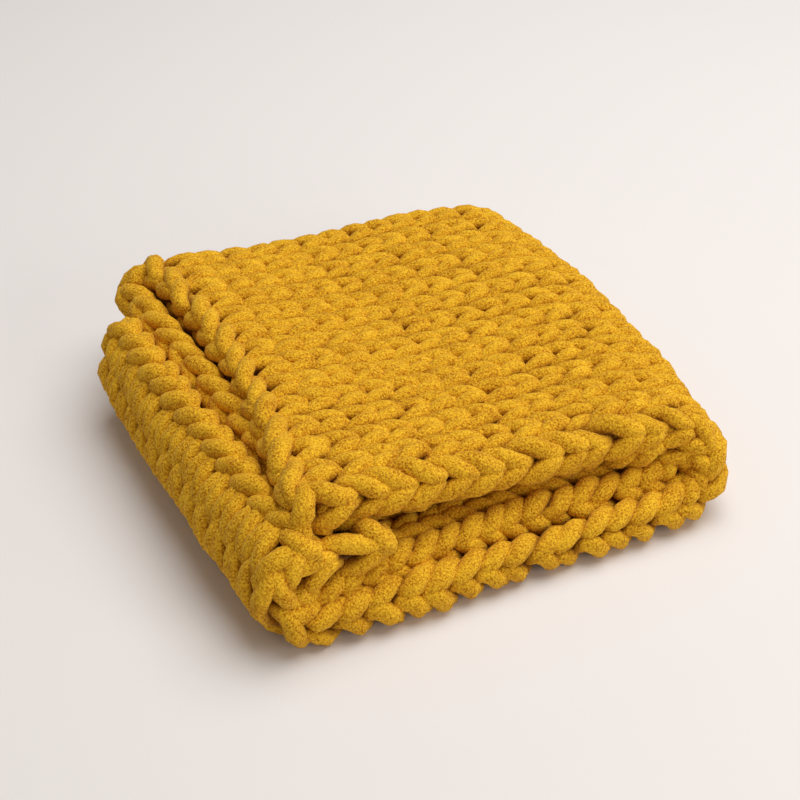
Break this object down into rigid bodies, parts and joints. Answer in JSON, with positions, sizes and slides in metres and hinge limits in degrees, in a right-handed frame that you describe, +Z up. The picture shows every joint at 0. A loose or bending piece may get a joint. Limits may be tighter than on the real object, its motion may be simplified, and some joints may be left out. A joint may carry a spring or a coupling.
{
  "type": "folded chunky knit throw",
  "caption": "Soft chunky hand-knit chenille throw, folded in a rounded stack for a sofa arm, a bed or a shelf.",
  "frame": {"origin": "on the floor, under the middle of the folded throw's bounding box", "axes": "+Z up; +X towards the folded stack's right end as seen from its front; +Y from the open front edges towards the crease at the back"},
  "size_m": [0.5869, 0.5651, 0.1446],
  "materials": {
    "mustard_chenille": "matte velvety pile"
  },
  "bodies": {
    "root": {"knitted_throw": "mustard_chenille"}
  },
  "joints": []
}
